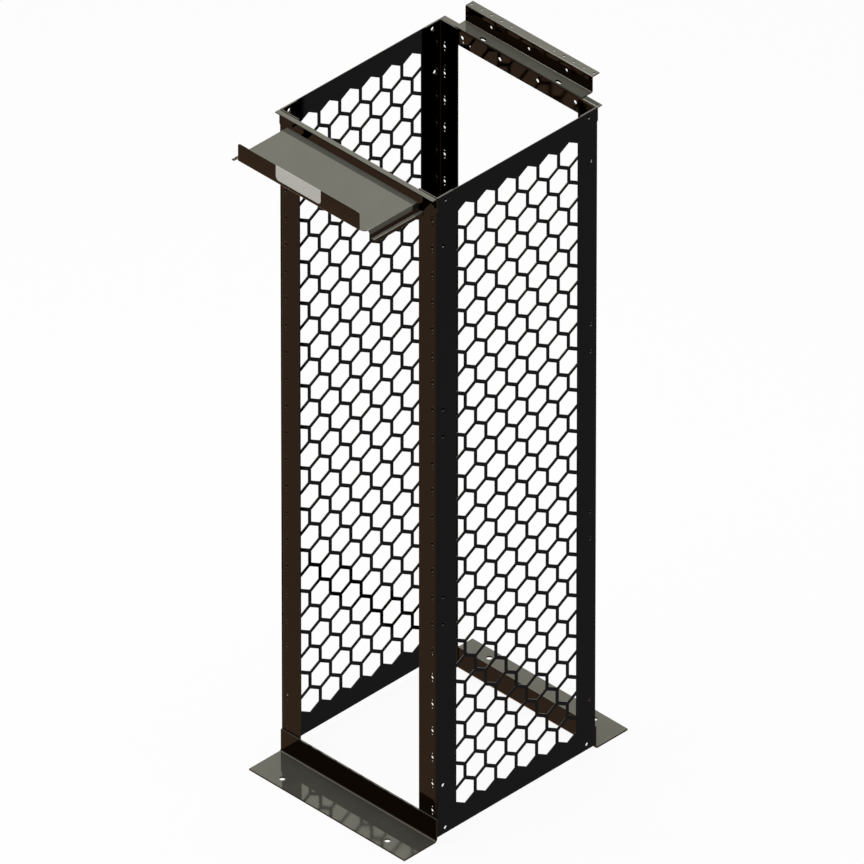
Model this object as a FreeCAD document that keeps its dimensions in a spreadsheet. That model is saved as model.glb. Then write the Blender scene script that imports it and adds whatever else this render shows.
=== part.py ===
"""Four post open frame rack, 84 in tall, with a small fixed shelf at the top front.

Millimetres. X runs to the right, Y to the back and Z up. The origin is on the
floor, midway between the four anchor holes.
"""

import FreeCAD, Part
import math
import os

import Sketcher

os.makedirs("parts", exist_ok=True)

# Driving sizes. Each one is a cell of the sheet "Sizes" under the same name.
SIZES = {
    # the frame as a whole
    "rack_width": 600.0,
    "rack_depth": 609.6,
    "rack_height": 2133.6,
    "frame_lift": 15.0,
    # corner posts, folded from sheet
    "post_face": 69.0,
    "post_side": 61.0,
    "post_gauge": 2.7,
    "post_bend": 2.0,
    # the holes down each post's face
    "rail_pitch": 88.9,
    "rail_groups": 23,
    "rail_inset": 20.0,
    "rail_hole": 9.5,
    "full_circles": 3,
    # perforated side panels
    "panel_gauge": 2.0,
    "cell_flats": 68.0,
    "cell_web": 11.0,
    "cell_columns": 6,
    "cell_rows": 15,
    # angles across the top, front and rear
    "top_drop": 54.0,
    "top_ledge": 19.0,
    "top_gauge": 3.0,
    "top_bend": 2.0,
    "top_corner": 12.7,
    "top_hole": 12.0,
    "top_hole_drop": 24.0,
    "top_inner_span": 144.0,
    "top_outer_span": 431.0,
    "slot_span": 287.0,
    "slot_length": 22.0,
    "slot_width": 11.0,
    "lug_hole": 7.0,
    "lug_drop": 38.0,
    "lug_inset": 88.0,
    "lug_pitch": 26.0,
    # floor angles, front and rear
    "base_rise": 76.2,
    "base_reach": 127.0,
    "base_gauge": 5.0,
    "base_bend": 6.0,
    "anchor_hole": 17.5,
    "anchor_span": 406.4,
    "anchor_offset": 95.25,
    # overhead bracket on the rear top angle
    "bracket_length": 482.6,
    "bracket_foot": 39.0,
    "bracket_rise": 53.0,
    "bracket_flange": 29.0,
    "bracket_gauge": 3.0,
    "bracket_bend": 2.0,
    "bracket_hole": 9.5,
    "tie_hole": 7.0,
    "tie_count": 5,
    "tie_pitch": 38.1,
    "tie_inset": 8.5,
    # shelf tray, folded from one sheet
    "tray_width": 496.0,
    "tray_drop": 24.0,
    "tray_gap": 5.0,
    "tray_depth": 204.0,
    "tray_gauge": 2.0,
    "tray_bend": 2.0,
    "tray_wall": 21.0,
    "tray_ledge": 24.0,
    "tray_hem": 10.5,
    "tray_chamfer": 17.0,
    "lip_height": 57.0,
    "lip_corner": 8.0,
    # the two arms under the tray
    "arm_gauge": 2.5,
    "arm_reach": 140.0,
    "arm_nose": 12.0,
    "arm_neck": 36.0,
    "arm_flange": 20.0,
    "ear_width": 62.0,
    "ear_height": 50.0,
    "arm_clearance": 0.3,
    # blank label plate on the tray's lip
    "label_width": 171.0,
    "label_height": 46.0,
    "label_gauge": 1.0,
    "label_corner": 12.0,
}

doc = FreeCAD.newDocument("four_post_rack")
sheet = doc.addObject("Spreadsheet::Sheet", "Sizes")
for row, (alias, size) in enumerate(SIZES.items(), 1):
    sheet.set(f"A{row}", alias)
    sheet.set(f"B{row}", str(size))
    sheet.setAlias(f"B{row}", alias)
doc.recompute()


def size(alias):
    """The present value of one cell of the sheet."""
    return float(getattr(sheet, alias))


def origin_part(body, role):
    """One of the body's own origin planes or axes."""
    return next(item for item in body.Origin.OriginFeatures if item.Role == role)


def new_body(label):
    body = doc.addObject("PartDesign::Body", label)
    body.Label = label
    return body


def new_sketch(body, role, name):
    """A sketch on one of the body's origin planes."""
    sketch = body.newObject("Sketcher::SketchObject", name)
    sketch.AttachmentSupport = [(origin_part(body, role), "")]
    sketch.MapMode = "FlatFace"
    return sketch


def bind(sketch, kind, where, expression):
    """Add one dimension to a sketch and bind it to the sheet."""
    index = sketch.addConstraint(Sketcher.Constraint(kind, *where, 1.0))
    sketch.setExpression(f"Constraints[{index}]", expression)


def add_outline(sketch, corners):
    """A closed outline whose corners are pairs of expressions, (x, y)."""
    count = len(corners)
    turn = 2 * math.pi / count
    rough = [FreeCAD.Vector(math.cos(i * turn), math.sin(i * turn), 0) for i in range(count)]
    first = sketch.GeometryCount
    for i in range(count):
        sketch.addGeometry(Part.LineSegment(rough[i], rough[(i + 1) % count]), False)
    for i in range(count):
        ends = (first + i, 2, first + (i + 1) % count, 1)
        sketch.addConstraint(Sketcher.Constraint("Coincident", *ends))
    for i, (x, y) in enumerate(corners):
        bind(sketch, "DistanceX", (-1, 1, first + i, 1), x)
        bind(sketch, "DistanceY", (-1, 1, first + i, 1), y)


def add_circle(sketch, x, y, diameter):
    circle = Part.Circle(FreeCAD.Vector(0, 0, 0), FreeCAD.Vector(0, 0, 1), 1.0)
    index = sketch.addGeometry(circle, False)
    bind(sketch, "DistanceX", (-1, 1, index, 3), x)
    bind(sketch, "DistanceY", (-1, 1, index, 3), y)
    bind(sketch, "Diameter", (index,), diameter)


def add_polygon(sketch, sides, x, y, radius, first_angle=0.0):
    """A regular polygon, from the radius of the circle through its corners."""
    corners = []
    for i in range(sides):
        angle = first_angle + 360.0 * i / sides
        corners.append(
            (f"({x}) + ({radius}) * cos({angle} deg)", f"({y}) + ({radius}) * sin({angle} deg)")
        )
    add_outline(sketch, corners)


def finish(body, feature):
    """Make a feature the body's last one, and stop if it could not be made."""
    body.Tip = feature
    doc.recompute()
    if "Invalid" in feature.State or feature.Shape.isNull():
        raise RuntimeError(f"{body.Label}: {feature.Label} failed")
    return feature


def pad(body, sketch, name, length, symmetric=False, reverse=False):
    feature = body.newObject("PartDesign::Pad", name)
    feature.Profile = sketch
    feature.setExpression("Length", length)
    feature.Reversed = reverse
    if symmetric:
        feature.SideType = "Symmetric"
    return finish(body, feature)


def cut_through(body, sketch, name):
    """Pocket a sketch through the whole body, both ways."""
    before = body.Shape.Volume
    feature = body.newObject("PartDesign::Pocket", name)
    feature.Profile = sketch
    feature.Type = "ThroughAll"
    feature.SideType = "Symmetric"
    finish(body, feature)
    if not body.Shape.Volume < before:
        raise RuntimeError(f"{body.Label}: {name} cuts nothing")
    return feature


def repeat(body, feature, name, axis, length, count, axis2=None, length2=None, count2=None):
    """Repeat a feature along one or two of the body's axes."""
    pattern = body.newObject("PartDesign::LinearPattern", name)
    pattern.Originals = [feature]
    pattern.Direction = (origin_part(body, axis), [""])
    pattern.setExpression("Length", length)
    pattern.setExpression("Occurrences", count)
    if axis2:
        pattern.Direction2 = (origin_part(body, axis2), [""])
        pattern.setExpression("Length2", length2)
        pattern.setExpression("Occurrences2", count2)
    pattern.Refine = False
    return finish(body, pattern)


def edges_along(shape, axis, places):
    """Names of the straight edges along an axis that pass through given places.

    Each place is the pair of the edge's other two coordinates, in X, Y, Z order.
    """
    names = []
    others = [i for i in range(3) if i != axis]
    for number, edge in enumerate(shape.Edges, 1):
        a, b = edge.Vertexes[0].Point, edge.Vertexes[-1].Point
        if any(abs(a[i] - b[i]) > 1e-6 for i in others) or abs(a[axis] - b[axis]) < 1e-6:
            continue
        for place in places:
            if all(abs(a[i] - at) < 1e-4 for i, at in zip(others, place)):
                names.append(f"Edge{number}")
    return names


def round_edges(body, name, axis, places, radius):
    """Fillet the straight edges that edges_along finds."""
    base = body.Tip
    names = edges_along(base.Shape, axis, places)
    if len(names) != len(places):
        raise RuntimeError(f"{body.Label}: {name} found {len(names)} of {len(places)} edges")
    fillet = body.newObject("PartDesign::Fillet", name)
    fillet.Base = (base, names)
    fillet.setExpression("Radius", radius)
    return finish(body, fillet)


# The frame's own places
HALF_WIDTH = size("rack_width") / 2
HALF_DEPTH = size("rack_depth") / 2
RAIL_START = "(Sizes.rack_height - Sizes.frame_lift - Sizes.rail_pitch * (Sizes.rail_groups - 1)) / 2"


def place(body, x, y, z, turn=0.0):
    """Set a body down in the frame, turned about Z by a number of degrees."""
    spin = FreeCAD.Rotation(FreeCAD.Vector(0, 0, 1), turn)
    body.Placement = FreeCAD.Placement(FreeCAD.Vector(x, y, z), spin)


def make_post(label, hand):
    """A corner post: its face across the front, its side leg running back.

    The body's origin is the post's outer corner at its lower end. The hand is
    1 where the face runs towards +X from there, and -1 where it runs the other way.
    """
    body = new_body(label)
    profile = new_sketch(body, "XY_Plane", f"{label}_profile")
    add_outline(
        profile,
        [
            ("0", "0"),
            (f"{hand} * Sizes.post_face", "0"),
            (f"{hand} * Sizes.post_face", "Sizes.post_gauge"),
            (f"{hand} * Sizes.post_gauge", "Sizes.post_gauge"),
            (f"{hand} * Sizes.post_gauge", "Sizes.post_side"),
            ("0", "Sizes.post_side"),
        ],
    )
    pad(body, profile, f"{label}_length", "Sizes.rack_height - Sizes.frame_lift")
    gauge = size("post_gauge")
    round_edges(body, f"{label}_inner_bend", 2, [(hand * gauge, gauge)], "Sizes.post_bend")
    round_edges(
        body, f"{label}_outer_bend", 2, [(0, 0)], "Sizes.post_bend + Sizes.post_gauge"
    )
    across = f"{hand} * (Sizes.rail_inset - Sizes.panel_gauge)"
    run = "Sizes.rail_pitch * (Sizes.rail_groups - 1)"
    # Eight flats keep the long pattern light. The first, middle and last holes
    # are then opened to the full circle that the flats lie in.
    flats = new_sketch(body, "XZ_Plane", f"{label}_flats")
    add_polygon(flats, 8, across, RAIL_START, "Sizes.rail_hole / 2", 22.5)
    hole = cut_through(body, flats, f"{label}_hole")
    repeat(body, hole, f"{label}_holes", "Z_Axis", run, "Sizes.rail_groups")
    circle = new_sketch(body, "XZ_Plane", f"{label}_circle")
    add_circle(circle, across, RAIL_START, "Sizes.rail_hole")
    full = cut_through(body, circle, f"{label}_full_hole")
    repeat(body, full, f"{label}_full_holes", "Z_Axis", run, "Sizes.full_circles")
    return body


def make_panel(label):
    """A side panel: one flat sheet with a honeycomb of openings.

    The body's origin is the sheet's lower front corner on its outer face.
    """
    body = new_body(label)
    tall = "(Sizes.rack_height - Sizes.frame_lift)"
    blank = new_sketch(body, "YZ_Plane", f"{label}_blank")
    add_outline(
        blank, [("0", "0"), ("Sizes.rack_depth", "0"), ("Sizes.rack_depth", tall), ("0", tall)]
    )
    pad(body, blank, f"{label}_sheet", "Sizes.panel_gauge")
    pitch = "(Sizes.cell_flats + Sizes.cell_web)"
    row = f"({pitch} * sqrt(3) / 2)"
    radius = "(Sizes.cell_flats / sqrt(3))"
    middle = "Sizes.rack_depth / 2"
    lowest = f"({tall} / 2 - {row} * (Sizes.cell_rows - 1))"
    between = f"({lowest} + {row})"
    # rows of cells, and between them rows with one cell fewer
    rows = (
        ("whole", "Sizes.cell_columns", lowest, "Sizes.cell_rows"),
        ("between", "(Sizes.cell_columns - 1)", between, "(Sizes.cell_rows - 1)"),
    )
    for name, columns, start, count in rows:
        cell = new_sketch(body, "YZ_Plane", f"{label}_{name}_cell")
        run = f"{pitch} * ({columns} - 1)"
        add_polygon(cell, 6, f"{middle} - {run} / 2", start, radius, 30.0)
        opening = cut_through(body, cell, f"{label}_{name}_opening")
        rise = f"2 * {row} * ({count} - 1)"
        repeat(body, opening, f"{label}_{name}_rows", "Y_Axis", run, columns, "Z_Axis", rise, count)
    # the part cells at both ends of the rows between, cut off in line with the whole rows
    ends = new_sketch(body, "YZ_Plane", f"{label}_end_cells")
    flat = f"({pitch} * Sizes.cell_columns / 2 - Sizes.cell_flats / 2)"
    edge = f"(({pitch} * Sizes.cell_columns - Sizes.cell_web) / 2)"
    low = f"{radius} / 2"
    high = f"({radius} / 2 + ({edge} - {flat}) / sqrt(3))"
    for side in (-1, 1):
        near, far = f"{middle} + {side} * {flat}", f"{middle} + {side} * {edge}"
        corners = [(near, f"{between} - {low}"), (far, f"{between} - {high}")]
        corners += [(far, f"{between} + {high}"), (near, f"{between} + {low}")]
        add_outline(ends, corners)
    opening = cut_through(body, ends, f"{label}_end_openings")
    rise = f"2 * {row} * (Sizes.cell_rows - 2)"
    repeat(body, opening, f"{label}_end_rows", "Z_Axis", rise, "(Sizes.cell_rows - 1)")
    return body


def make_top_angle(label, pierced):
    """An angle across the top of two posts, its ledge pointing outwards, towards -Y.

    The body's origin is midway along the heel. Only a pierced angle has the row
    of bolt holes in its upright leg and the slots in its ledge.
    """
    body = new_body(label)
    profile = new_sketch(body, "YZ_Plane", f"{label}_profile")
    add_outline(
        profile,
        [
            ("0", "0"),
            ("-Sizes.top_ledge", "0"),
            ("-Sizes.top_ledge", "-Sizes.top_gauge"),
            ("-Sizes.top_gauge", "-Sizes.top_gauge"),
            ("-Sizes.top_gauge", "-Sizes.top_drop"),
            ("0", "-Sizes.top_drop"),
        ],
    )
    pad(body, profile, f"{label}_length", "Sizes.rack_width", symmetric=True)
    gauge = size("top_gauge")
    drop = size("top_drop")
    round_edges(body, f"{label}_inner_bend", 0, [(-gauge, -gauge)], "Sizes.top_bend")
    round_edges(body, f"{label}_outer_bend", 0, [(0, 0)], "Sizes.top_bend + Sizes.top_gauge")
    corners = [(-HALF_WIDTH, -drop), (HALF_WIDTH, -drop)]
    round_edges(body, f"{label}_corners", 1, corners, "Sizes.top_corner")
    if not pierced:
        return body
    bolts = new_sketch(body, "XZ_Plane", f"{label}_bolt_line")
    for side in (-1, 1):
        for span in ("top_inner_span", "top_outer_span"):
            add_circle(bolts, f"{side} * Sizes.{span} / 2", "-Sizes.top_hole_drop", "Sizes.top_hole")
    for step in (0, 1):
        x = f"Sizes.rack_width / 2 - (Sizes.lug_inset + {step} * Sizes.lug_pitch)"
        add_polygon(bolts, 8, x, "-Sizes.lug_drop", "Sizes.lug_hole / 2", 22.5)
    cut_through(body, bolts, f"{label}_bolt_holes")
    cut_slots(body, label, "-Sizes.top_ledge / 2")
    return body


def cut_slots(body, label, across):
    """Two slots along X, at the spacing that the top angle and the bracket share."""
    straight = "(Sizes.slot_length - Sizes.slot_width) / 2"
    ends = new_sketch(body, "XY_Plane", f"{label}_slot_ends")
    middles = new_sketch(body, "XY_Plane", f"{label}_slot_middles")
    half = "Sizes.slot_width / 2"
    for side in (-1, 1):
        x = f"{side} * Sizes.slot_span / 2"
        for end in (-1, 1):
            add_circle(ends, f"{x} + {end} * {straight}", across, "Sizes.slot_width")
        near, far = f"{x} - {straight}", f"{x} + {straight}"
        low, high = f"{across} - {half}", f"{across} + {half}"
        add_outline(middles, [(near, low), (far, low), (far, high), (near, high)])
    cut_through(body, ends, f"{label}_slot_end_cuts")
    cut_through(body, middles, f"{label}_slot_middle_cuts")


def make_base_angle(label):
    """A floor angle across the foot of two posts, its wide leg on the floor towards -Y.

    The body's origin is midway along the heel, on the floor.
    """
    body = new_body(label)
    profile = new_sketch(body, "YZ_Plane", f"{label}_profile")
    add_outline(
        profile,
        [
            ("0", "0"),
            ("0", "Sizes.base_rise"),
            ("-Sizes.base_gauge", "Sizes.base_rise"),
            ("-Sizes.base_gauge", "Sizes.base_gauge"),
            ("-Sizes.base_reach", "Sizes.base_gauge"),
            ("-Sizes.base_reach", "0"),
        ],
    )
    pad(body, profile, f"{label}_length", "Sizes.rack_width", symmetric=True)
    gauge = size("base_gauge")
    round_edges(body, f"{label}_inner_bend", 0, [(-gauge, gauge)], "Sizes.base_bend")
    round_edges(body, f"{label}_outer_bend", 0, [(0, 0)], "Sizes.base_bend + Sizes.base_gauge")
    anchors = new_sketch(body, "XY_Plane", f"{label}_anchor_line")
    for side in (-1, 1):
        x = f"{side} * Sizes.anchor_span / 2"
        add_circle(anchors, x, "-Sizes.anchor_offset", "Sizes.anchor_hole")
    cut_through(body, anchors, f"{label}_anchor_holes")
    return body


def make_bracket(label):
    """The overhead bracket: a Z section whose foot lies on the rear top angle's ledge.

    The body's origin is midway along the front edge of the foot, on the ledge.
    """
    body = new_body(label)
    web_back = "(Sizes.bracket_foot + Sizes.bracket_gauge)"
    flange_under = "(Sizes.bracket_rise - Sizes.bracket_gauge)"
    tip = "(Sizes.bracket_foot + Sizes.bracket_flange)"
    profile = new_sketch(body, "YZ_Plane", f"{label}_profile")
    add_outline(
        profile,
        [
            ("0", "0"),
            (web_back, "0"),
            (web_back, flange_under),
            (tip, flange_under),
            (tip, "Sizes.bracket_rise"),
            ("Sizes.bracket_foot", "Sizes.bracket_rise"),
            ("Sizes.bracket_foot", "Sizes.bracket_gauge"),
            ("0", "Sizes.bracket_gauge"),
        ],
    )
    pad(body, profile, f"{label}_length", "Sizes.bracket_length", symmetric=True)
    foot, rise, gauge = size("bracket_foot"), size("bracket_rise"), size("bracket_gauge")
    inner = [(foot, gauge), (foot + gauge, rise - gauge)]
    outer = [(foot + gauge, 0), (foot, rise)]
    round_edges(body, f"{label}_inner_bends", 0, inner, "Sizes.bracket_bend")
    round_edges(
        body, f"{label}_outer_bends", 0, outer, "Sizes.bracket_bend + Sizes.bracket_gauge"
    )
    web_holes = new_sketch(body, "XZ_Plane", f"{label}_web_line")
    for step in (-1, 0, 1):
        x = f"{step} * Sizes.slot_span / 2"
        add_circle(web_holes, x, "Sizes.bracket_rise / 2", "Sizes.bracket_hole")
    cut_through(body, web_holes, f"{label}_web_holes")
    cut_slots(body, label, "Sizes.top_ledge / 2")
    # tie holes along the upper flange, a row in from each end
    first_hole = new_sketch(body, "XY_Plane", f"{label}_tie_hole")
    x = "Sizes.bracket_length / 2 - Sizes.tie_inset"
    y = f"({web_back} + {tip}) / 2"
    add_polygon(first_hole, 8, f"-({x})", y, "Sizes.tie_hole / 2", 22.5)
    tie = cut_through(body, first_hole, f"{label}_left_tie")
    run = "Sizes.tie_pitch * (Sizes.tie_count - 1)"
    repeat(body, tie, f"{label}_left_ties", "X_Axis", run, "Sizes.tie_count")
    last_hole = new_sketch(body, "XY_Plane", f"{label}_tie_hole_right")
    add_polygon(last_hole, 8, f"{x} - {run}", y, "Sizes.tie_hole / 2", 22.5)
    tie = cut_through(body, last_hole, f"{label}_right_tie")
    repeat(body, tie, f"{label}_right_ties", "X_Axis", run, "Sizes.tie_count")
    return body


def make_tray(label):
    """The shelf: a flat tray with a raised lip in front and stepped sides.

    The body's origin is midway along the rear edge of its upper face.
    """
    body = new_body(label)
    half, edge = "Sizes.tray_width / 2", "(Sizes.tray_width / 2 + Sizes.tray_ledge)"
    gauge, wall = "Sizes.tray_gauge", "Sizes.tray_wall"
    hem = "(Sizes.tray_wall + Sizes.tray_hem)"
    side = [
        (half, "0"),
        (half, f"-{wall}"),
        (edge, f"-{wall}"),
        (edge, f"-{hem}"),
        (f"{edge} - {gauge}", f"-{hem}"),
        (f"{edge} - {gauge}", f"-{wall} - {gauge}"),
        (f"{half} - {gauge}", f"-{wall} - {gauge}"),
        (f"{half} - {gauge}", f"-{gauge}"),
    ]
    section = new_sketch(body, "XZ_Plane", f"{label}_section")
    add_outline(section, side + [(f"-({x})", z) for x, z in reversed(side)])
    pad(body, section, f"{label}_run", "Sizes.tray_depth - Sizes.tray_chamfer")
    x, e, g = size("tray_width") / 2, size("tray_width") / 2 + size("tray_ledge"), size("tray_gauge")
    w, d = size("tray_wall"), size("tray_depth")
    inner = [(s * a, z) for s in (-1, 1) for a, z in ((x - g, -g), (x, -w), (e - g, -w - g))]
    outer = [(s * a, z) for s in (-1, 1) for a, z in ((x, 0), (x - g, -w - g), (e, -w))]
    round_edges(body, f"{label}_inner_bends", 1, inner, "Sizes.tray_bend")
    round_edges(body, f"{label}_outer_bends", 1, outer, "Sizes.tray_bend + Sizes.tray_gauge")
    nose = new_sketch(body, "XY_Plane", f"{label}_nose_outline")
    back = "-(Sizes.tray_depth - Sizes.tray_chamfer)"
    flat = "(Sizes.tray_width / 2 - Sizes.tray_bend - Sizes.tray_gauge)"
    tip = "(Sizes.tray_width / 2 - Sizes.tray_chamfer)"
    front = "-Sizes.tray_depth"
    add_outline(nose, [(f"-{flat}", back), (flat, back), (tip, front), (f"-{tip}", front)])
    pad(body, nose, f"{label}_nose", gauge, reverse=True)
    lip = new_sketch(body, "XY_Plane", f"{label}_lip_outline")
    behind = f"-Sizes.tray_depth + {gauge}"
    add_outline(lip, [(f"-{tip}", front), (tip, front), (tip, behind), (f"-{tip}", behind)])
    pad(body, lip, f"{label}_lip", "Sizes.lip_height")
    round_edges(body, f"{label}_lip_inner_bend", 0, [(-d + g, 0)], "Sizes.tray_bend")
    ends = [(s * (x - size("tray_chamfer")), size("lip_height")) for s in (-1, 1)]
    round_edges(body, f"{label}_lip_corners", 1, ends, "Sizes.lip_corner")
    return body


def make_arm(label, hand):
    """An arm under the tray, with an ear behind the post's face.

    The body's origin is at the rack's top, on the back of the post's face, in
    the plane of the arm's outer side. The hand is 1 for the right arm.
    """
    body = new_body(label)
    neck_top = "-(Sizes.top_drop + Sizes.arm_clearance)"
    neck_foot = f"{neck_top} - Sizes.arm_neck"
    under = "-(Sizes.tray_drop + Sizes.tray_gauge)"
    rear = "-(Sizes.post_gauge + Sizes.top_ledge + Sizes.tray_gap)"
    front = f"{rear} - Sizes.arm_reach"
    web = new_sketch(body, "YZ_Plane", f"{label}_web_outline")
    add_outline(
        web,
        [
            ("Sizes.arm_gauge", neck_top),
            (rear, neck_top),
            (rear, under),
            (front, under),
            (front, f"{under} - Sizes.arm_nose"),
            ("Sizes.arm_gauge", neck_foot),
        ],
    )
    pad(body, web, f"{label}_web", "Sizes.arm_gauge", reverse=hand > 0)
    shelf = new_sketch(body, "YZ_Plane", f"{label}_flange_outline")
    low = f"{under} - Sizes.arm_gauge"
    add_outline(shelf, [(rear, under), (front, under), (front, low), (rear, low)])
    pad(body, shelf, f"{label}_flange", "Sizes.arm_flange", reverse=hand > 0)
    ear = new_sketch(body, "XZ_Plane", f"{label}_ear_outline")
    inner, outer = f"-{hand} * Sizes.arm_gauge", f"{hand} * Sizes.ear_width"
    foot = f"{neck_top} - Sizes.ear_height"
    add_outline(ear, [(inner, foot), (outer, foot), (outer, neck_top), (inner, neck_top)])
    pad(body, ear, f"{label}_ear", "Sizes.arm_gauge", reverse=True)
    hole = new_sketch(body, "XZ_Plane", f"{label}_ear_hole")
    rail = f"{hand} * (Sizes.panel_gauge + Sizes.post_face + Sizes.arm_clearance - Sizes.rail_inset)"
    add_circle(hole, rail, f"-({RAIL_START})", "Sizes.rail_hole")
    cut_through(body, hole, f"{label}_ear_cut")
    return body


def make_label(label):
    """A blank plate on the front of the tray's lip, level with its top.

    The body's origin is midway along the plate's upper edge, on its back.
    """
    body = new_body(label)
    outline = new_sketch(body, "XZ_Plane", f"{label}_outline")
    half, foot = "Sizes.label_width / 2", "-Sizes.label_height"
    add_outline(outline, [(f"-{half}", "0"), (half, "0"), (half, foot), (f"-{half}", foot)])
    pad(body, outline, f"{label}_sheet", "Sizes.label_gauge")
    corners = [(s * size("label_width") / 2, -size("label_height")) for s in (-1, 1)]
    round_edges(body, f"{label}_corners", 1, corners, "Sizes.label_corner")
    return body


# Where each piece stands in the frame
post_x = HALF_WIDTH - size("panel_gauge")
lift = size("frame_lift")
top = size("rack_height")
for end, y in (("front", -HALF_DEPTH), ("rear", HALF_DEPTH)):
    for side, sign in (("left", -1), ("right", 1)):
        turn = 0.0 if end == "front" else 180.0
        hand = -sign if end == "front" else sign
        place(make_post(f"post_{end}_{side}", hand), sign * post_x, y, lift, turn)
    turn = 0.0 if end == "front" else 180.0
    place(make_top_angle(f"top_angle_{end}", end == "rear"), 0, y, top, turn)
    place(make_base_angle(f"base_angle_{end}"), 0, y, 0, turn)
place(make_panel("side_panel_left"), -HALF_WIDTH, -HALF_DEPTH, lift)
place(make_panel("side_panel_right"), post_x, -HALF_DEPTH, lift)
place(make_bracket("overhead_bracket"), 0, HALF_DEPTH, top)

tray_rear = -HALF_DEPTH - size("top_ledge") - size("tray_gap")
tray_level = top - size("tray_drop")
place(make_tray("shelf_tray"), 0, tray_rear, tray_level)
lip_front = tray_rear - size("tray_depth")
place(make_label("label_plate"), 0, lip_front, tray_level + size("lip_height"))
arm_x = post_x - size("post_face") - size("arm_clearance")
arm_y = -HALF_DEPTH + size("post_gauge")
place(make_arm("shelf_arm_left", -1), -arm_x, arm_y, top)
place(make_arm("shelf_arm_right", 1), arm_x, arm_y, top)

doc.recompute()
for item in doc.Objects:
    if any(word in item.State for word in ("Invalid", "Error")):
        raise RuntimeError(f"{item.Label} failed: {item.State}")
bodies = [item for item in doc.Objects if item.TypeId == "PartDesign::Body"]
for body in bodies:
    if body.Shape.isNull() or not body.Shape.isValid() or len(body.Shape.Solids) != 1:
        raise RuntimeError(f"{body.Label} is not one valid solid")
for body in bodies:
    body.Shape.exportStep(f"parts/{body.Label}.step")
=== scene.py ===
import math

import bpy
from bpy.props import (
    FloatProperty, FloatVectorProperty, IntProperty, PointerProperty
)
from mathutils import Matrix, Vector
from mathutils.geometry import delaunay_2d_cdt


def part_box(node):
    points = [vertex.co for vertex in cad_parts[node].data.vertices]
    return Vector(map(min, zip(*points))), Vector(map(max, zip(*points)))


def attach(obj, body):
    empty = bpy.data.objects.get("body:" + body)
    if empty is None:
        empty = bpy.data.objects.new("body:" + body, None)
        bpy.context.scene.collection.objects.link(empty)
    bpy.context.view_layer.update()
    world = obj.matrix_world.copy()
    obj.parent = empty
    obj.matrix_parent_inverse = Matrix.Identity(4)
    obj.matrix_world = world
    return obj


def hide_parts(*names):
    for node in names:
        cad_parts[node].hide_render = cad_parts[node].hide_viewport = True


bl_info = {
    "name": "Four Post Rack",
    "version": (1, 0, 0),
    "blender": (4, 5, 0),
    "location": "View3D > Sidebar > Rack",
    "description": "Dresses a four post open frame rack: pierced posts, honeycomb sides, shelf and finishes",
    "category": "Object",
}

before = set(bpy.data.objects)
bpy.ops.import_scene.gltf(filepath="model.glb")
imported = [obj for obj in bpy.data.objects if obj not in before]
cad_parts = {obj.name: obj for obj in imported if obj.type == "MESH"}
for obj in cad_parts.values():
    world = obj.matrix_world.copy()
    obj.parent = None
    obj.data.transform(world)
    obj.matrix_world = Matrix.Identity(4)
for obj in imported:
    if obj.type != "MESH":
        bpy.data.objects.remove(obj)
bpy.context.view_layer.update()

WHITE = (1.0, 1.0, 1.0, 1.0)
NO_LENGTH = 1e-9
SAME_PLACE = 1e-7
FOLD_STEPS = 8
LARGE_HOLE_SIDES = 28
SMALL_HOLE_SIDES = 20
SLOT_END_STEPS = 10
SHARP_FOLD = math.radians(24)


# ---------------------------------------------------------------- sizes and colours

class RackFrameSizes(bpy.types.PropertyGroup):
    """Sizes of the folded frame pieces."""

    post_gauge: FloatProperty(
        name="Post gauge", description="Thickness of the post's sheet",
        default=0.0027, min=0.001, unit="LENGTH")
    post_bend: FloatProperty(
        name="Post bend", description="Inner radius of the post's fold",
        default=0.002, min=0.0005, unit="LENGTH")
    rail_pitch: FloatProperty(
        name="Rail pitch", description="Height from one large rail hole to the next",
        default=0.0889, min=0.02, unit="LENGTH")
    rail_groups: IntProperty(
        name="Rail groups", description="Number of large rail holes on a post",
        default=23, min=1)
    rail_inset: FloatProperty(
        name="Rail inset", description="Line of the rail holes, from the rack's outer side",
        default=0.020, min=0.005, unit="LENGTH")
    rail_hole: FloatProperty(
        name="Rail hole", description="Diameter of the large rail holes",
        default=0.0095, min=0.001, unit="LENGTH")
    pilot_hole: FloatProperty(
        name="Pilot hole", description="Diameter of the small rail holes",
        default=0.0055, min=0.001, unit="LENGTH")
    pilot_step: FloatProperty(
        name="Pilot step", description="Height of a small rail hole above or below the large one",
        default=0.0127, min=0.005, unit="LENGTH")
    fixing_hole: FloatProperty(
        name="Fixing hole", description="Diameter of the panels' fixing holes",
        default=0.011, min=0.001, unit="LENGTH")
    fixing_clearance: FloatProperty(
        name="Fixing clearance", description="How much wider the fixing holes in the posts are",
        default=0.004, min=0.0, unit="LENGTH")
    fixing_corner: FloatVectorProperty(
        name="Corner fixing", description="Place of the end fixing holes, in from the edge and from the end",
        subtype="XYZ", size=2, default=(0.0315, 0.018), unit="LENGTH")
    fixing_inset: FloatProperty(
        name="Fixing inset", description="Line of the other fixing holes, in from the edge",
        default=0.0225, min=0.005, unit="LENGTH")
    fixing_rise: FloatVectorProperty(
        name="Fixing heights", description="Heights of the other fixing holes above and below the middle",
        subtype="XYZ", size=3, default=(0.2667, 0.3556, 0.895), unit="LENGTH")


class RackPanelSizes(bpy.types.PropertyGroup):
    """Sizes of the honeycomb in the side panels."""

    cell: FloatProperty(
        name="Cell", description="Width of a cell across its flats",
        default=0.068, min=0.01, unit="LENGTH")
    web: FloatProperty(
        name="Web", description="Width of the metal between two cells",
        default=0.011, min=0.002, unit="LENGTH")
    columns: IntProperty(
        name="Columns", description="Cells in a full row", default=6, min=1)
    rows: IntProperty(
        name="Rows", description="Number of full rows", default=15, min=1)


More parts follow.
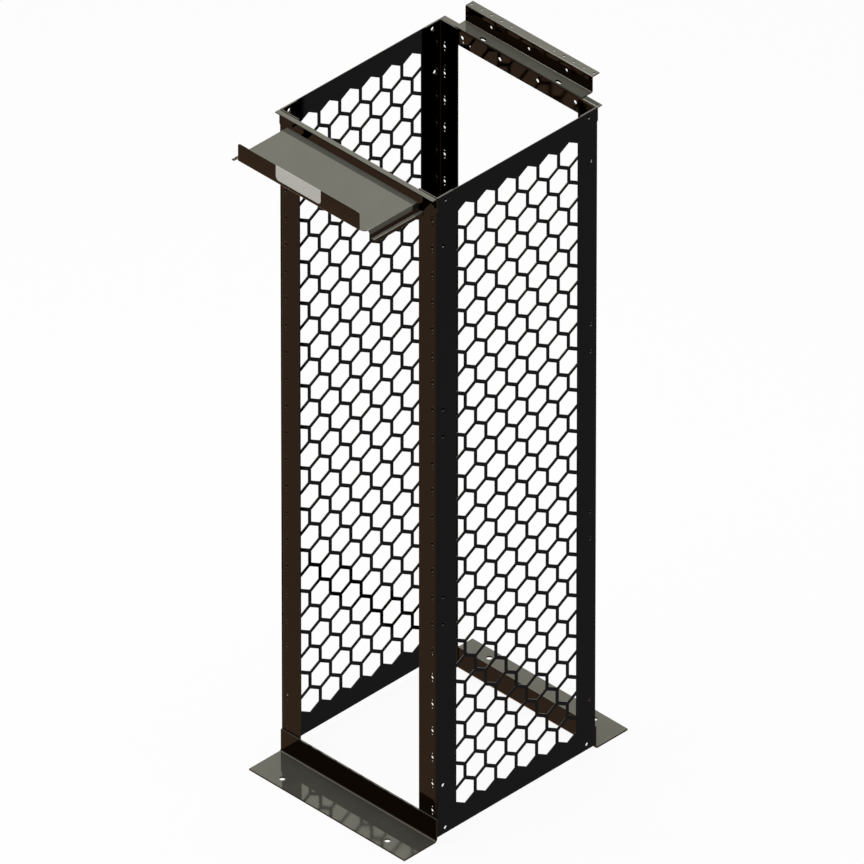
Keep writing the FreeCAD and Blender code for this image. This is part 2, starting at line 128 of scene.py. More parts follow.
class RackShelfSizes(bpy.types.PropertyGroup):
    """Sizes of the shelf tray."""

    gauge: FloatProperty(
        name="Gauge", description="Thickness of the tray's sheet",
        default=0.002, min=0.0005, unit="LENGTH")
    bend: FloatProperty(
        name="Bend", description="Inner radius of the small folds",
        default=0.002, min=0.0005, unit="LENGTH")
    deck_width: FloatProperty(
        name="Deck width", description="Width of the flat deck",
        default=0.496, min=0.05, unit="LENGTH")
    shoulder: FloatProperty(
        name="Shoulder", description="Width and height of the slope along the deck's long edges",
        default=0.0095, min=0.001, unit="LENGTH")
    step: FloatProperty(
        name="Step", description="How far the side walls stand out from the deck at their foot",
        default=0.012, min=0.001, unit="LENGTH")
    wall: FloatProperty(
        name="Wall", description="Height of the side walls",
        default=0.021, min=0.005, unit="LENGTH")
    lip_width: FloatProperty(
        name="Lip width", description="Width of the raised front lip",
        default=0.462, min=0.05, unit="LENGTH")
    nose: FloatProperty(
        name="Nose", description="How far the side walls stop short of the front",
        default=0.017, min=0.001, unit="LENGTH")
    hem_corner: FloatProperty(
        name="Hem corner", description="Cut of the hems' front corners",
        default=0.006, min=0.0, unit="LENGTH")
    corner: FloatProperty(
        name="Corner", description="Radius of the lip's upper corners",
        default=0.008, min=0.001, unit="LENGTH")


class RackBracketSizes(bpy.types.PropertyGroup):
    """Sizes of the overhead bracket."""

    gauge: FloatProperty(
        name="Gauge", description="Thickness of the bracket's sheet",
        default=0.003, min=0.0005, unit="LENGTH")
    bend: FloatProperty(
        name="Bend", description="Inner radius of the folds",
        default=0.002, min=0.0005, unit="LENGTH")
    foot: FloatProperty(
        name="Foot", description="Depth of the lower flange",
        default=0.039, min=0.005, unit="LENGTH")
    span: FloatProperty(
        name="Span", description="Distance between the outer holes of the web and of the foot",
        default=0.287, min=0.02, unit="LENGTH")
    hole: FloatProperty(
        name="Hole", description="Diameter of the holes in the web",
        default=0.0095, min=0.001, unit="LENGTH")
    slot_inset: FloatProperty(
        name="Slot inset", description="Line of the foot's slots, from its edge",
        default=0.0095, min=0.001, unit="LENGTH")
    slot_width: FloatProperty(
        name="Slot width", description="Width of the foot's slots",
        default=0.011, min=0.001, unit="LENGTH")
    slot_length: FloatProperty(
        name="Slot length", description="Length of the foot's slots",
        default=0.022, min=0.001, unit="LENGTH")
    tie_hole: FloatProperty(
        name="Tie hole", description="Diameter of the small holes in the upper flange",
        default=0.007, min=0.001, unit="LENGTH")
    tie_count: IntProperty(
        name="Tie holes", description="Number of small holes at each end",
        default=5, min=1)
    tie_pitch: FloatProperty(
        name="Tie pitch", description="Distance from one small hole to the next",
        default=0.0381, min=0.005, unit="LENGTH")
    tie_inset: FloatProperty(
        name="Tie inset", description="Distance from the end to the first small hole",
        default=0.0085, min=0.001, unit="LENGTH")


class RackFinish(bpy.types.PropertyGroup):
    """Colours and surface of the rack's finishes, with the painted light and painted reflection in them."""

    # The warm cast in the frame's colour and sheen tint is a painted warm reflection; the panels' darker,
    # cooler colour and tint are painted shade and a painted cool reflection.
    frame_enamel: FloatVectorProperty(
        name="Frame enamel", description="Colour of the warm black on posts, angles and shelf",
        subtype="COLOR", size=4, default=(0.013, 0.0075, 0.005, 1.0), min=0.0, max=1.0)
    panel_enamel: FloatVectorProperty(
        name="Panel enamel", description="Colour of the cool black on the side panels",
        subtype="COLOR", size=4, default=(0.004, 0.0036, 0.004, 1.0), min=0.0, max=1.0)
    frame_painted_sheen: FloatVectorProperty(
        name="Frame painted sheen", description="Tint of the warm black's sheen at a slant",
        subtype="COLOR", size=4, default=(1.0, 0.81, 0.67, 1.0), min=0.0, max=1.0)
    panel_painted_sheen: FloatVectorProperty(
        name="Panel painted sheen", description="Tint of the cool black's sheen at a slant",
        subtype="COLOR", size=4, default=(0.73, 0.72, 0.72, 1.0), min=0.0, max=1.0)
    # This colour is painted light and painted reflection on faces that look up.
    painted_top_light: FloatVectorProperty(
        name="Dust", description="Colour of the fine dust on upper faces",
        subtype="COLOR", size=4, default=(0.167, 0.167, 0.141, 1.0), min=0.0, max=1.0)
    # Share of the mirror kept on faces under the painted top light.
    painted_top_mirror: FloatProperty(
        name="Painted light mirror", description="Share of a dusty face that still mirrors its surroundings",
        default=0.6, min=0.0, max=1.0)
    enamel_roughness: FloatProperty(
        name="Enamel roughness", description="Roughness of the clean enamel",
        default=0.03, min=0.0, max=1.0)
    enamel_ripple: FloatProperty(
        name="Enamel ripple", description="Height of the faint ripple in the enamel",
        default=0.00001, min=0.0, precision=6, unit="LENGTH")
    # Cover of the painted light and painted reflection on faces that look up.
    painted_top_light_amount: FloatProperty(
        name="Painted light amount", description="Cover of the dust on upper faces",
        default=1.0, min=0.0, max=1.0)
    label: FloatVectorProperty(
        name="Label", description="Colour of the blank label plate",
        subtype="COLOR", size=4, default=(0.49, 0.475, 0.43, 1.0), min=0.0, max=1.0)
    label_mottle: FloatProperty(
        name="Label mottle", description="How much darker the label's mottle is",
        default=0.07, min=0.0, max=1.0)


class RackStageSettings(bpy.types.PropertyGroup):
    """Floor, lamps and camera."""

    floor: FloatVectorProperty(
        name="Floor", description="Colour of the studio floor",
        subtype="COLOR", size=4, default=(0.86, 0.86, 0.86, 1.0), min=0.0, max=1.0)
    floor_reach: FloatProperty(
        name="Floor reach", description="Distance from the middle of the floor to its sides",
        default=60.0, min=1.0, unit="LENGTH")
    floor_gap: FloatProperty(
        name="Floor gap", description="How far the floor lies below the rack's feet",
        default=0.0004, min=0.0, precision=5, unit="LENGTH")
    backdrop: FloatProperty(
        name="Backdrop", description="How far the floor is lifted to white where it is seen",
        default=0.92, min=0.0, max=1.0)
    sky: FloatProperty(
        name="Sky", description="Strength of the even light from all round",
        default=0.5, min=0.0)
    top_lamp: FloatProperty(
        name="Top lamp", description="Power of the large soft lamp above the rack",
        default=210.0, min=0.0, unit="POWER")
    front_lamp: FloatProperty(
        name="Front lamp", description="Power of the soft lamp in front",
        default=60.0, min=0.0, unit="POWER")
    lamp_aim: FloatProperty(
        name="Lamp aim", description="Height at which the lamps point",
        default=1.1, min=0.0, unit="LENGTH")
    camera_distance: FloatProperty(
        name="Camera distance", description="Distance from the camera to the rack",
        default=91.45, min=10.0, unit="LENGTH")
    camera_width: FloatProperty(
        name="View width", description="Width of the view at the rack",
        default=2.345, min=0.5, unit="LENGTH")
    camera_aim: FloatVectorProperty(
        name="Aim", description="Point at the middle of the view",
        subtype="XYZ", size=3, default=(-0.0127, -0.0127, 1.0645), unit="LENGTH")


# ---------------------------------------------------------------- folded sheets

class FoldedSheet:
    """A sheet drawn flat and folded along a profile.

    The profile is a run of corners in the middle of the sheet, each with the radius
    of its fold. Flat places are (along, run): along is measured on the developed
    profile and run along the piece's length.
    """

    def __init__(self, corners, radii=()):
        self.points = [Vector(corners[0])]
        self.marks = [0.0]
        self.flats = []
        for i in range(1, len(corners) - 1):
            before, here, after = (Vector(corners[j]) for j in (i - 1, i, i + 1))
            into, out = (here - before).normalized(), (after - here).normalized()
            turn = math.acos(max(-1.0, min(1.0, into.dot(out))))
            radius = radii[i - 1]
            back = radius * math.tan(turn / 2)
            start = here - into * back
            centre = start + (out - into * into.dot(out)).normalized() * radius
            self._flat(start)
            for step in range(1, FOLD_STEPS + 1):
                angle = turn * step / FOLD_STEPS
                arm = (start - centre) * math.cos(angle) + into * radius * math.sin(angle)
                self._add(radius * turn / FOLD_STEPS, centre + arm)
        self._flat(Vector(corners[-1]))
        self.length = self.marks[-1]

    def _flat(self, end):
        first, run = self.marks[-1], (end - self.points[-1]).length
        if run > NO_LENGTH:
            self._add(run, end)
        self.flats.append((first, self.marks[-1]))

    def _add(self, run, point):
        self.marks.append(self.marks[-1] + run)
        self.points.append(point)

    def middle(self, number):
        """The developed length at the middle of a flat part, counted from 0."""
        return sum(self.flats[number]) / 2

    def at(self, along):
        """The folded place of a developed length."""
        for i in range(1, len(self.marks)):
            if along <= self.marks[i] + NO_LENGTH or i == len(self.marks) - 1:
                share = (along - self.marks[i - 1]) / (self.marks[i] - self.marks[i - 1])
                return self.points[i - 1].lerp(self.points[i], share)

    def flat(self, outline, holes, low, high):
        """Triangles of the developed sheet: its corners, and the faces between them."""
        corners, edges, loops = [], [], []
        for loop in (outline, *holes):
            loops.append(list(range(len(corners), len(corners) + len(loop))))
            corners.extend(Vector(place) for place in loop)
        for mark in self.marks[1:-1]:
            edges.append((len(corners), len(corners) + 1))
            corners.extend((Vector((mark, low)), Vector((mark, high))))
        places, _, faces, _, _, owners = delaunay_2d_cdt(corners, edges, loops, 1, SAME_PLACE)
        return places, [face for face, owner in zip(faces, owners) if owner == [0]]


def circle(along, run, diameter, sides=SMALL_HOLE_SIDES):
    """A round hole in a flat sheet."""
    turn = 2 * math.pi / sides
    return [
        (along + diameter / 2 * math.cos(i * turn), run + diameter / 2 * math.sin(i * turn))
        for i in range(sides)
    ]


def slot(along, run, width, length):
    """A round-ended hole, long in the direction of the run."""
    half = (length - width) / 2
    points = []
    for end, first in ((half, 0.0), (-half, math.pi)):
        for i in range(SLOT_END_STEPS + 1):
            angle = first + math.pi * i / SLOT_END_STEPS
            points.append(
                (along + width / 2 * math.cos(angle), run + end + width / 2 * math.sin(angle))
            )
    return points


def quarter_turn(steps):
    """Along and aside, from (0, 0) to (1, 1), on a quarter of a circle."""
    angles = [math.pi / 2 * i / steps for i in range(steps + 1)]
    return [(math.sin(angle), 1 - math.cos(angle)) for angle in angles]


def panel_fixings(sizes, low, high):
    """Heights of the holes that join a panel to a post, each with its place in from the edge."""
    back, end = sizes.fixing_corner
    found = [(low + end, back), (high - end, back)]
    for rise in sizes.fixing_rise:
        for side in (-1, 1):
            found.append(((low + high) / 2 + side * rise, sizes.fixing_inset))
    return found


def make_piece(name, node, sheet, outline, holes, gauge, place, material, span):
    """Fold a flat sheet, give it its thickness and set it on the rack's body."""
    places, faces = sheet.flat(outline, holes, *span)
    corners = [place(sheet.at(p.x), p.y) for p in places]
    shell = bpy.data.meshes.new(f"{name}_shell")
    shell.from_pydata(corners, [], faces)
    shell.validate()
    holder = bpy.data.objects.new(f"{name}_shell", shell)
    bpy.context.scene.collection.objects.link(holder)
    thickness = holder.modifiers.new("Gauge", "SOLIDIFY")
    thickness.thickness = gauge
    thickness.offset = 0.0
    thickness.use_even_offset = True
    view = bpy.context.evaluated_depsgraph_get()
    mesh = bpy.data.meshes.new_from_object(holder.evaluated_get(view), depsgraph=view)
    bpy.data.objects.remove(holder)
    bpy.data.meshes.remove(shell)
    mesh.name = name
    mesh.shade_smooth()
    mesh.set_sharp_from_angle(angle=SHARP_FOLD)
    mesh.materials.clear()
    mesh.materials.append(material)
    piece = bpy.data.objects.new(name, mesh)
    bpy.context.scene.collection.objects.link(piece)
    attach(piece, "root")
    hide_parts(node)


# ---------------------------------------------------------------- finishes

def enamel_surface_group():
    """Shared surface of the enamel: painted light and painted reflection on faces that look up, a faint
    ripple and rubbing.
    """
    found = bpy.data.node_groups.get("Enamel surface")
    if found:
        return found
    group = bpy.data.node_groups.new("Enamel surface", "ShaderNodeTree")
    for way, sockets in (
        ("INPUT", (
            ("Enamel colour", "NodeSocketColor"), ("Painted light colour", "NodeSocketColor"),
            ("Clean roughness", "NodeSocketFloat"), ("Painted light mirror", "NodeSocketFloat"),
            ("Painted light amount", "NodeSocketFloat"),
        )),
        ("OUTPUT", (
            ("Colour", "NodeSocketColor"), ("Roughness", "NodeSocketFloat"),
            ("Mirror", "NodeSocketFloat"), ("Height", "NodeSocketFloat"),
        )),
    ):
        for name, kind in sockets:
            group.interface.new_socket(name=name, in_out=way, socket_type=kind)
    nodes, links = group.nodes, group.links
    given = nodes.new("NodeGroupInput")
    out = nodes.new("NodeGroupOutput")
    place = nodes.new("ShaderNodeTexCoord")
    geometry = nodes.new("ShaderNodeNewGeometry")
    parts = nodes.new("ShaderNodeSeparateXYZ")
    links.new(geometry.outputs["Normal"], parts.inputs[0])
    # Mask of the faces that look up: they get the painted light and painted reflection.
    upward = nodes.new("ShaderNodeMapRange")
    upward.inputs["From Min"].default_value = 0.6
    upward.inputs["From Max"].default_value = 0.95
    links.new(parts.outputs["Z"], upward.inputs["Value"])

    def noise(scale, detail, roughness):
        node = nodes.new("ShaderNodeTexNoise")
        node.inputs["Scale"].default_value = scale
        node.inputs["Detail"].default_value = detail
        node.inputs["Roughness"].default_value = roughness
        links.new(place.outputs["Object"], node.inputs["Vector"])
        return node.outputs["Fac"]

    def maths(operation, *values):
        node = nodes.new("ShaderNodeMath")
        node.operation = operation
        for socket, value in zip(node.inputs, values):
            if isinstance(value, (int, float)):
                socket.default_value = value
            else:
                links.new(value, socket)
        return node.outputs[0]

    cloud = noise(scale=9.0, detail=4.0, roughness=0.6)
    speck = noise(scale=420.0, detail=2.0, roughness=0.5)
    ripple = noise(scale=700.0, detail=1.0, roughness=0.4)
    rubbing = noise(scale=34.0, detail=5.0, roughness=0.7)

    # Painted light and painted reflection on the faces that look up, weaker in clouds and in fine grains.
    cover = maths("MULTIPLY", upward.outputs["Result"], given.outputs["Painted light amount"])
    patchy = maths("MULTIPLY_ADD", cloud, 0.2, 0.88)
    grainy = maths("MULTIPLY_ADD", speck, 0.16, 0.9)
    painted_light_mask = maths("MULTIPLY", maths("MULTIPLY", cover, patchy), grainy)
    mix = nodes.new("ShaderNodeMix")
    mix.data_type = "RGBA"
    links.new(painted_light_mask, mix.inputs["Factor"])
    links.new(given.outputs["Enamel colour"], mix.inputs["A"])
    links.new(given.outputs["Painted light colour"], mix.inputs["B"])
    links.new(mix.outputs["Result"], out.inputs["Colour"])

    # Under the painted top light a face mirrors only by the given share and shows the rest as matte painted
    # light.
    painted_light_matte = maths("MULTIPLY", painted_light_mask, maths("SUBTRACT", 1.0, given.outputs["Painted light mirror"]))
    links.new(maths("SUBTRACT", 1.0, painted_light_matte), out.inputs["Mirror"])
    rubbed = maths("MULTIPLY_ADD", rubbing, 0.02, given.outputs["Clean roughness"])
    links.new(rubbed, out.inputs["Roughness"])
    links.new(ripple, out.inputs["Height"])
    return group


def enamel(name, clean, tint):
    """Glossy black enamel on sheet steel, with its colour and the tint of its sheen; their warm or cool cast
    is painted reflection.
    """
    found = bpy.data.materials.get(name)
    if found:
        return found
    finish = bpy.context.scene.rack_finish
    material = bpy.data.materials.new(name)
    material.use_nodes = True
    nodes, links = material.node_tree.nodes, material.node_tree.links
    shader = nodes["Principled BSDF"]
    shader.inputs["Specular IOR Level"].default_value = 0.0
    shader.inputs["Specular Tint"].default_value = tint
    surface = nodes.new("ShaderNodeGroup")
    surface.node_tree = enamel_surface_group()
    surface.inputs["Enamel colour"].default_value = clean
    surface.inputs["Painted light colour"].default_value = finish.painted_top_light
    surface.inputs["Clean roughness"].default_value = finish.enamel_roughness
    surface.inputs["Painted light mirror"].default_value = finish.painted_top_mirror
    surface.inputs["Painted light amount"].default_value = finish.painted_top_light_amount
    bumps = nodes.new("ShaderNodeBump")
    bumps.inputs["Distance"].default_value = finish.enamel_ripple
    links.new(surface.outputs["Colour"], shader.inputs["Base Color"])
    links.new(surface.outputs["Roughness"], shader.inputs["Roughness"])
    links.new(surface.outputs["Mirror"], shader.inputs["Metallic"])
    links.new(surface.outputs["Height"], bumps.inputs["Height"])
    links.new(bumps.outputs["Normal"], shader.inputs["Normal"])
    return material


def frame_enamel(name):
    """The black of the posts, angles, bracket and shelf; its warm cast is a painted warm reflection."""
    finish = bpy.context.scene.rack_finish
    return enamel(name, finish.frame_enamel, finish.frame_painted_sheen)


def label_stock():
    """Blank off-white plate with a faint mottle."""
    finish = bpy.context.scene.rack_finish
    material = bpy.data.materials.new("Label stock")
    material.use_nodes = True
    nodes, links = material.node_tree.nodes, material.node_tree.links
    shader = nodes["Principled BSDF"]
    shader.inputs["Roughness"].default_value = 0.42
    place = nodes.new("ShaderNodeTexCoord")
    mottle = nodes.new("ShaderNodeTexNoise")
    mottle.inputs["Scale"].default_value = 60.0
    mottle.inputs["Detail"].default_value = 5.0
    links.new(place.outputs["Object"], mottle.inputs["Vector"])
    ramp = nodes.new("ShaderNodeValToRGB")
    dark, pale = ramp.color_ramp.elements
    dark.position, pale.position = 0.3, 0.7
    dark.color = [part * (1 - finish.label_mottle) for part in finish.label[:3]] + [1.0]
    pale.color = finish.label
    links.new(mottle.outputs["Fac"], ramp.inputs["Fac"])
    links.new(ramp.outputs["Color"], shader.inputs["Base Color"])
    bumps = nodes.new("ShaderNodeBump")
    bumps.inputs["Distance"].default_value = 0.00002
    links.new(mottle.outputs["Fac"], bumps.inputs["Height"])
    links.new(bumps.outputs["Normal"], shader.inputs["Normal"])
    return material


def dress_node(node, material):
    """Give a CAD piece its finish."""
    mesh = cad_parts[node].data
    mesh.materials.clear()
    mesh.materials.append(material)


# ---------------------------------------------------------------- operators

class RACK_OT_stage(bpy.types.Operator):
    """Floor, soft lamps, background and camera"""

    bl_idname = "rack.stage"
    bl_label = "Stage"

    def execute(self, context):
        stage = context.scene.rack_stage
        context.scene.view_settings.view_transform = "Standard"
        aim = Vector(stage.camera_aim)
        line = Vector((1.0, -1.0, 1.0)).normalized()
        camera = bpy.data.cameras.new("Camera")
        camera.lens = camera.sensor_width * stage.camera_distance / stage.camera_width
        camera.clip_start = 1.0
        camera.clip_end = 3 * stage.camera_distance
        holder = bpy.data.objects.new("Camera", camera)
        holder.location = aim + line * stage.camera_distance
        holder.rotation_euler = (-line).to_track_quat("-Z", "Y").to_euler()
        context.scene.collection.objects.link(holder)
        context.scene.camera = holder
        self.floor(context, stage)
        self.world(context, stage)
        self.lamp(context, "Top lamp", place=(-0.6, 0.2, 6.2), size=4.0, power=stage.top_lamp)
        self.lamp(
            context, "Front lamp", place=(-2.0, -5.0, 3.0), size=3.0, power=stage.front_lamp)
        return {"FINISHED"}

    def floor(self, context, stage):
        mesh = bpy.data.meshes.new("Floor")
        reach = stage.floor_reach
        mesh.from_pydata(
            [(-reach, -reach, 0), (reach, -reach, 0), (reach, reach, 0), (-reach, reach, 0)],
            [], [(0, 1, 2, 3)])
        floor = bpy.data.objects.new("Floor", mesh)
        floor.location.z = -stage.floor_gap
        context.scene.collection.objects.link(floor)
        material = bpy.data.materials.new("Studio floor")
        material.use_nodes = True
        nodes, links = material.node_tree.nodes, material.node_tree.links
        shader = nodes["Principled BSDF"]
        shader.inputs["Base Color"].default_value = stage.floor
        shader.inputs["Roughness"].default_value = 0.9
        bright = nodes.new("ShaderNodeEmission")
        bright.inputs["Strength"].default_value = 1.0
        mix = nodes.new("ShaderNodeMixShader")
        share = nodes.new("ShaderNodeMath")
        share.operation = "MULTIPLY"
        share.inputs[1].default_value = stage.backdrop
        links.new(self.direct_look(nodes, links), share.inputs[0])
        links.new(share.outputs[0], mix.inputs["Fac"])
        links.new(shader.outputs[0], mix.inputs[1])
        links.new(bright.outputs[0], mix.inputs[2])
        links.new(mix.outputs[0], nodes["Material Output"].inputs["Surface"])
        mesh.materials.append(material)

    def direct_look(self, nodes, links):
        """1 where the background is seen directly, in gloss or through glass."""
        path = nodes.new("ShaderNodeLightPath")
        seen = path.outputs["Is Camera Ray"]
        for name in ("Is Glossy Ray", "Is Transmission Ray"):
            either = nodes.new("ShaderNodeMath")
            either.operation = "MAXIMUM"
            links.new(seen, either.inputs[0])
            links.new(path.outputs[name], either.inputs[1])
            seen = either.outputs[0]
        return seen

    def world(self, context, stage):
        world = bpy.data.worlds.new("Studio")
        context.scene.world = world
        world.use_nodes = True
        nodes, links = world.node_tree.nodes, world.node_tree.links
        sky = nodes["Background"]
        sky.inputs["Color"].default_value = WHITE
        sky.inputs["Strength"].default_value = stage.sky
        bright = nodes.new("ShaderNodeBackground")
        bright.inputs["Color"].default_value = WHITE
        bright.inputs["Strength"].default_value = 1.0
        mix = nodes.new("ShaderNodeMixShader")
        links.new(self.direct_look(nodes, links), mix.inputs["Fac"])
        links.new(sky.outputs[0], mix.inputs[1])
        links.new(bright.outputs[0], mix.inputs[2])
        links.new(mix.outputs[0], nodes["World Output"].inputs["Surface"])

    def lamp(self, context, name, place, size, power):
        light = bpy.data.lights.new(name, "AREA")
        light.shape = "SQUARE"
        light.size = size
        light.energy = power
        holder = bpy.data.objects.new(name, light)
        holder.location = place
        aim = Vector((0.0, 0.0, context.scene.rack_stage.lamp_aim)) - holder.location
        holder.rotation_euler = aim.to_track_quat("-Z", "Y").to_euler()
        context.scene.collection.objects.link(holder)


class RACK_OT_posts(bpy.types.Operator):
    """The four folded corner posts with all their holes"""

    bl_idname = "rack.posts"
    bl_label = "Posts"

    def execute(self, context):
        sizes = context.scene.rack_frame
        material = frame_enamel("Post enamel")
        for end, inwards in (("front", 1), ("rear", -1)):
            for side, across in (("left", 1), ("right", -1)):
                self.post(sizes, f"post_{end}_{side}", across, inwards, material)
        return {"FINISHED"}

    def post(self, sizes, node, across, inwards, material):
        low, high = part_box(node)
        corner_x = low.x if across > 0 else high.x
        corner_y = low.y if inwards > 0 else high.y
        face, leg = high.x - low.x, high.y - low.y
        half = sizes.post_gauge / 2
        sheet = FoldedSheet([(face, half), (half, half), (half, leg)], [sizes.post_bend + half])
        outline = [(0, low.z), (sheet.length, low.z), (sheet.length, high.z), (0, high.z)]
        panel_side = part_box("side_panel_right")[1].x
        rail_line = face - (sizes.rail_inset - (panel_side - abs(corner_x)))
        middle = (low.z + high.z) / 2
        holes = []
        for i in range(sizes.rail_groups):
            z = middle + (i - (sizes.rail_groups - 1) / 2) * sizes.rail_pitch
            holes.append(circle(rail_line, z, sizes.rail_hole, LARGE_HOLE_SIDES))
            for step in (-sizes.pilot_step, sizes.pilot_step):
                holes.append(circle(rail_line, z + step, sizes.pilot_hole))
        for z, back in panel_fixings(sizes, low.z, high.z):
            holes.append(circle(
                sheet.length - leg + back, z, sizes.fixing_hole + sizes.fixing_clearance))
        make_piece(
            f"{node}_sheet", node, sheet, outline, holes, sizes.post_gauge,
            lambda point, z: (corner_x + across * point.x, corner_y + inwards * point.y, z),
            material, (low.z, high.z))


class RACK_OT_side_panels(bpy.types.Operator):
    """The two honeycomb side panels"""

    bl_idname = "rack.side_panels"
    bl_label = "Side panels"

    def execute(self, context):
        sizes, cells = context.scene.rack_frame, context.scene.rack_panel
        finish = context.scene.rack_finish
        # Darker, cooler black: painted shade and a painted cool reflection on the side panels.
        material = enamel("Panel enamel", finish.panel_enamel, finish.panel_painted_sheen)
        for node in ("side_panel_left", "side_panel_right"):
            low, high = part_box(node)
            centre_x = (low.x + high.x) / 2
            middle = (low.z + high.z) / 2
            sheet = FoldedSheet([(0, low.y), (0, high.y)])
            depth = sheet.length
            outline = [(0, low.z), (depth, low.z), (depth, high.z), (0, high.z)]
            holes = self.cells(cells, depth / 2, middle)
            for z, back in panel_fixings(sizes, low.z, high.z):
                holes.append(circle(back, z, sizes.fixing_hole))
                holes.append(circle(depth - back, z, sizes.fixing_hole))
            make_piece(
                f"{node}_sheet", node, sheet, outline, holes, high.x - low.x,
                lambda point, z: (centre_x, point.y, z), material, (low.z, high.z))
        return {"FINISHED"}

    def cells(self, cells, centre, middle):
        """Outlines of the cells, with the outer ones cut off in line with the full rows."""
        pitch = cells.cell + cells.web
        rise = pitch * math.sqrt(3) / 2
        radius = cells.cell / math.sqrt(3)
        edge = (pitch * cells.columns - cells.web) / 2
        found = []
        for row in range(2 * cells.rows - 1):
            z = middle + (row - cells.rows + 1) * rise
            count = cells.columns if row % 2 == 0 else cells.columns + 1
            for i in range(count):
                y = (i - (count - 1) / 2) * pitch
                if abs(y) + cells.cell / 2 <= edge + SAME_PLACE:
                    points = [
                        (y + radius * math.cos(math.radians(turn)),
                         z + radius * math.sin(math.radians(turn)))
                        for turn in range(30, 390, 60)]
                else:
                    side = 1 if y > 0 else -1
                    near = side * (abs(y) - cells.cell / 2)
                    tall = radius / 2 + (edge - abs(near)) / math.sqrt(3)
                    points = [
                        (near, z - radius / 2), (side * edge, z - tall),
                        (side * edge, z + tall), (near, z + radius / 2)][::side]
                found.append([(centre + a, b) for a, b in points])
        return found


class RACK_OT_bracket(bpy.types.Operator):
    """The overhead bracket with all its holes and slots"""

    bl_idname = "rack.bracket"
    bl_label = "Overhead bracket"

    def execute(self, context):
        sizes = context.scene.rack_bracket
        node = "overhead_bracket"
        low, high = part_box(node)
        half = sizes.gauge / 2
        web = low.y + sizes.foot + half
        sheet = FoldedSheet(
            [(low.y, low.z + half), (web, low.z + half), (web, high.z - half),
             (high.y, high.z - half)], [sizes.bend + half] * 2)
        outline = [(0, low.x), (sheet.length, low.x), (sheet.length, high.x), (0, high.x)]
        holes = []
        for x in (-sizes.span / 2, sizes.span / 2):
            holes.append(slot(sizes.slot_inset, x, sizes.slot_width, sizes.slot_length))
        upper = sheet.length - (high.y - low.y - sizes.foot - sizes.gauge) / 2
        for end, way in ((low.x, 1), (high.x, -1)):
            for i in range(sizes.tie_count):
                x = end + way * (sizes.tie_inset + sizes.tie_pitch * i)
                holes.append(circle(upper, x, sizes.tie_hole))
        for x in (-sizes.span / 2, 0.0, sizes.span / 2):
            holes.append(circle(sheet.middle(1), x, sizes.hole, LARGE_HOLE_SIDES))
        make_piece(
            f"{node}_sheet", node, sheet, outline, holes, sizes.gauge,
            lambda point, x: (x, point.x, point.y), frame_enamel("Bracket enamel"),
            (low.x, high.x))
        return {"FINISHED"}


class RACK_OT_angles(bpy.types.Operator):
    """Finish of the top angles and floor angles"""

    bl_idname = "rack.angles"
    bl_label = "Top and floor angles"

    def execute(self, context):
        for node in ("top_angle_front", "top_angle_rear", "base_angle_front", "base_angle_rear"):
            dress_node(node, frame_enamel("Angle enamel"))
        return {"FINISHED"}


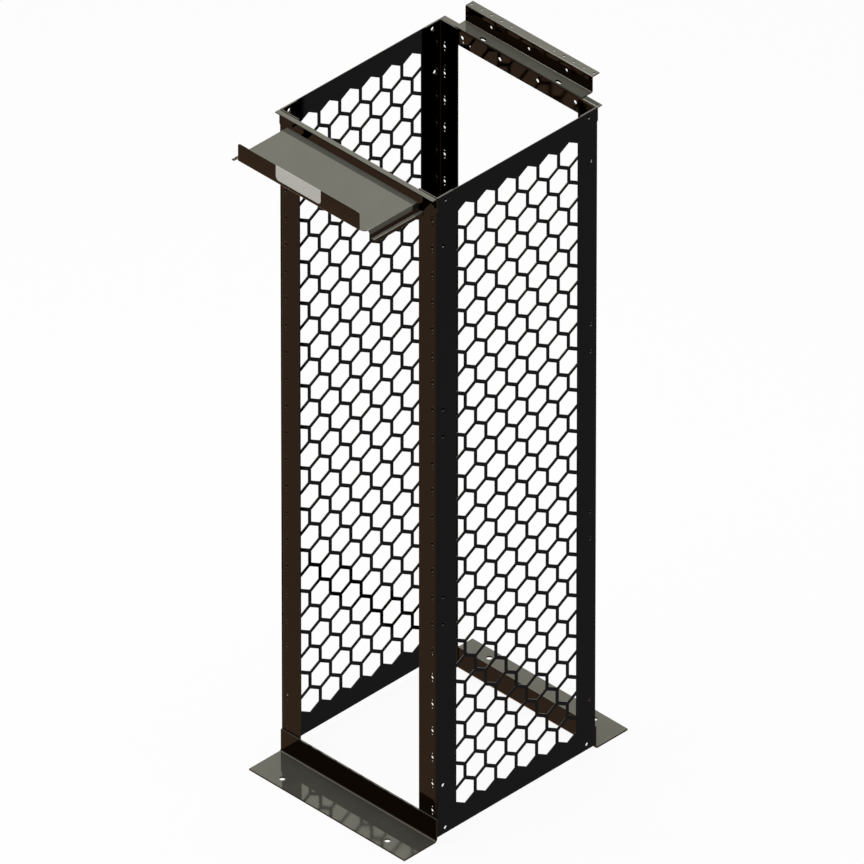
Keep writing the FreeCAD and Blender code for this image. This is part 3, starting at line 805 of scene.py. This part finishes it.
class RACK_OT_shelf(bpy.types.Operator):
    """The shelf tray with its sloped long edges and its lip, and the finish of its arms"""

    bl_idname = "rack.shelf"
    bl_label = "Shelf"

    def execute(self, context):
        sizes = context.scene.rack_shelf
        material = frame_enamel("Shelf enamel")
        low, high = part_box("shelf_tray")
        self.tray(sizes, low, high, material)
        self.lip(sizes, low, high, material)
        for node in ("shelf_arm_left", "shelf_arm_right"):
            dress_node(node, material)
        return {"FINISHED"}

    def tray(self, sizes, low, high, material):
        half = sizes.gauge / 2
        top = self.deck_level(sizes) - half
        deck = sizes.deck_width / 2
        foot = top - sizes.wall
        side = [
            (deck, top), (deck + sizes.shoulder, top - sizes.shoulder),
            (deck + sizes.step, foot), (high.x - half, foot), (high.x - half, low.z)]
        corners = [(-x, z) for x, z in reversed(side)] + side
        sheet = FoldedSheet(corners, [sizes.bend + half] * (len(corners) - 2))
        tip = (sheet.length + sizes.lip_width) / 2
        front, inner = low.y + sizes.bend + sizes.gauge, low.y + sizes.nose
        right = [
            (tip + sizes.nose * along, front + (inner - front) * aside)
            for along, aside in quarter_turn(6)]
        right += [
            (sheet.length - sizes.hem_corner, inner),
            (sheet.length, inner + sizes.hem_corner), (sheet.length, high.y)]
        left = [(sheet.length - along, run) for along, run in reversed(right)]
        make_piece(
            "shelf_tray_sheet", "shelf_tray", sheet, right + left, [], sizes.gauge,
            lambda point, y: (point.x, y, point.y), material, (low.y, high.y))

    def deck_level(self, sizes):
        """Level of the deck's upper face."""
        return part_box("shelf_arm_left")[1].z + sizes.gauge

    def lip(self, sizes, low, high, material):
        half = sizes.gauge / 2
        fold = sizes.bend + half
        deck = self.deck_level(sizes)
        sheet = FoldedSheet(
            [(low.y + half + fold, deck - half), (low.y + half, deck - half),
             (low.y + half, high.z)], [fold])
        wide, tall = sizes.lip_width / 2, sheet.length - sizes.corner
        right = [(0, wide)] + [
            (tall + sizes.corner * along, wide - sizes.corner * aside)
            for along, aside in quarter_turn(8)]
        outline = [(along, -run) for along, run in right] + right[::-1]
        make_piece(
            "shelf_lip_sheet", "shelf_tray", sheet, outline, [], sizes.gauge,
            lambda point, x: (x, point.x, point.y), material, (-wide, wide))


class RACK_OT_label(bpy.types.Operator):
    """Finish of the blank label plate"""

    bl_idname = "rack.label"
    bl_label = "Label plate"

    def execute(self, context):
        dress_node("label_plate", label_stock())
        return {"FINISHED"}


class RACK_PT_sidebar(bpy.types.Panel):
    """Lists the rack's pieces and their sizes"""

    bl_label = "Four Post Rack"
    bl_idname = "RACK_PT_sidebar"
    bl_space_type = "VIEW_3D"
    bl_region_type = "UI"
    bl_category = "Rack"

    def draw(self, context):
        layout = self.layout
        for operator in STEPS:
            layout.operator(operator.bl_idname)
        for name, group in SETTINGS.items():
            box = layout.box()
            box.label(text=group.__doc__)
            for field in group.__annotations__:
                box.prop(getattr(context.scene, name), field)


STEPS = (
    RACK_OT_stage, RACK_OT_posts, RACK_OT_side_panels, RACK_OT_bracket, RACK_OT_angles,
    RACK_OT_shelf, RACK_OT_label,
)
SETTINGS = {
    "rack_frame": RackFrameSizes,
    "rack_panel": RackPanelSizes,
    "rack_shelf": RackShelfSizes,
    "rack_bracket": RackBracketSizes,
    "rack_finish": RackFinish,
    "rack_stage": RackStageSettings,
}


def register():
    for item in (*SETTINGS.values(), *STEPS, RACK_PT_sidebar):
        bpy.utils.register_class(item)
    for name, group in SETTINGS.items():
        setattr(bpy.types.Scene, name, PointerProperty(type=group))


def unregister():
    for name in SETTINGS:
        delattr(bpy.types.Scene, name)
    for item in reversed((*SETTINGS.values(), *STEPS, RACK_PT_sidebar)):
        bpy.utils.unregister_class(item)


def main():
    register()
    for step in STEPS:
        group, name = step.bl_idname.split(".")
        getattr(getattr(bpy.ops, group), name)()


if __name__ == "__main__":
    main()
